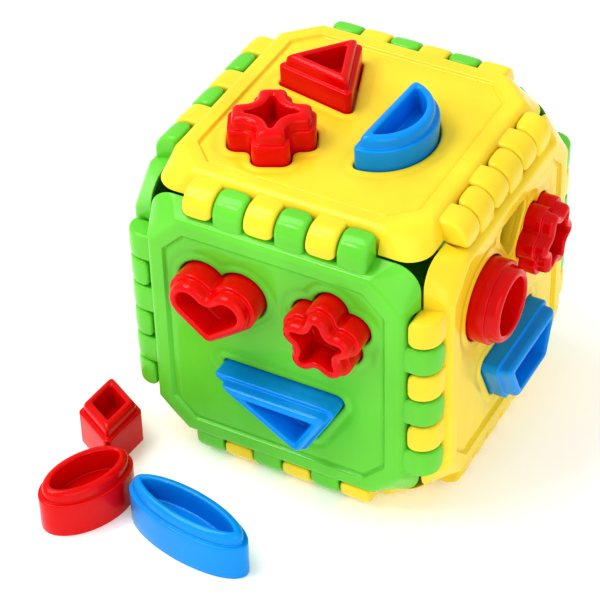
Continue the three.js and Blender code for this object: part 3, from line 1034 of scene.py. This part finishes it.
def pale_floor(size):
    """A large pale floor with a faint mottle."""
    half = size / 2
    mesh = bpy.data.meshes.new("pale_floor")
    corners = [(-half, -half, 0), (half, -half, 0), (half, half, 0), (-half, half, 0)]
    mesh.from_pydata(corners, [], [(0, 1, 2, 3)])
    floor = bpy.data.objects.new("pale_floor", mesh)
    bpy.context.scene.collection.objects.link(floor)
    material = bpy.data.materials.new("pale_board")
    material.use_nodes = True
    tree = material.node_tree
    shader = tree.nodes["Principled BSDF"]
    coords = tree.nodes.new("ShaderNodeTexCoord").outputs["Object"]
    ramp = tree.nodes.new("ShaderNodeValToRGB")
    ramp.color_ramp.elements[0].color = (0.9, 0.9, 0.9, 1)
    ramp.color_ramp.elements[1].color = (0.94, 0.94, 0.94, 1)
    tree.links.new(noise(tree, coords, 6, 2), ramp.inputs["Fac"])
    tree.links.new(ramp.outputs["Color"], shader.inputs["Base Color"])
    shader.inputs["Roughness"].default_value = 0.9
    shader.inputs["Specular IOR Level"].default_value = 0.1
    shader.inputs["Emission Color"].default_value = (1, 0.97, 0.9, 1)
    shader.inputs["Emission Strength"].default_value = 0.16
    floor.data.materials.append(material)
    return floor


class OBJECT_OT_sorter_stage(bpy.types.Operator):
    """Makes the pale floor, the soft lights and the camera"""

    bl_idname = "object.sorter_stage"
    bl_label = "Make Stage"

    def execute(self, context):
        scene, s = context.scene, context.scene.sorter_stage
        scene.view_settings.view_transform = "Standard"
        scene.view_settings.look = "High Contrast"
        scene.view_settings.exposure = s.exposure
        pale_floor(s.floor_size)
        for name, place, size, power in LIGHTS:
            area_light(name, CENTRE + place, CENTRE, size, getattr(s, power))
        world = bpy.data.worlds.new("white_surround")
        world.use_nodes = True
        world.node_tree.nodes["Background"].inputs["Color"].default_value = (1, 1, 1, 1)
        world.node_tree.nodes["Background"].inputs["Strength"].default_value = s.sky
        scene.world = world
        data = bpy.data.cameras.new("camera")
        data.lens, data.sensor_width, data.clip_end = s.lens, 36, 50
        camera = bpy.data.objects.new("camera", data)
        scene.collection.objects.link(camera)
        right, down = Vector(CAMERA_RIGHT), Vector(CAMERA_DOWN)
        ahead = right.cross(down)
        place = CENTRE + np.array(CAMERA_PLACE) * MM
        turn = Matrix((right, -down, -ahead)).transposed().to_4x4()
        camera.matrix_world = Matrix.Translation(place) @ turn
        scene.camera = camera
        return {"FINISHED"}


class VIEW3D_PT_shape_sorter(bpy.types.Panel):
    """Lists the settings and the operators in the sidebar"""

    bl_idname = "VIEW3D_PT_shape_sorter"
    bl_label = "Shape Sorter"
    bl_space_type = "VIEW_3D"
    bl_region_type = "UI"
    bl_category = "Shape Sorter"

    def draw(self, context):
        for group, operators in LISTED:
            box = self.layout.box()
            settings = getattr(context.scene, group)
            for name in settings.bl_rna.properties.keys():
                if name not in {"rna_type", "name"}:
                    box.prop(settings, name)
            for operator in operators:
                box.operator(operator)


LISTED = (
    ("sorter_panels", ("object.sorter_panels",)),
    ("sorter_fingers", ()),
    ("sorter_blocks", ("object.sorter_seated_blocks", "object.sorter_loose_blocks")),
    ("sorter_colours", ()),
    ("sorter_stage", ("object.sorter_stage",)),
)
GROUPS = {
    "sorter_panels": SorterPanelSettings,
    "sorter_fingers": SorterFingerSettings,
    "sorter_blocks": SorterBlockSettings,
    "sorter_colours": SorterColourSettings,
    "sorter_stage": SorterStageSettings,
}
CLASSES = (
    *GROUPS.values(), OBJECT_OT_sorter_panels, OBJECT_OT_sorter_seated_blocks,
    OBJECT_OT_sorter_loose_blocks, OBJECT_OT_sorter_stage, VIEW3D_PT_shape_sorter,
)


def register():
    """Registers the classes and puts one group of each kind of setting on the scene."""
    for cls in CLASSES:
        bpy.utils.register_class(cls)
    for name, group in GROUPS.items():
        setattr(bpy.types.Scene, name, bpy.props.PointerProperty(type=group))


def unregister():
    """Undoes register, in the reverse order."""
    for name in GROUPS:
        delattr(bpy.types.Scene, name)
    for cls in reversed(CLASSES):
        bpy.utils.unregister_class(cls)


def main():
    """Builds every piece and the stage."""
    register()
    bpy.ops.object.sorter_panels()
    bpy.ops.object.sorter_seated_blocks()
    bpy.ops.object.sorter_loose_blocks()
    bpy.ops.object.sorter_stage()


if __name__ == "__main__":
    main()
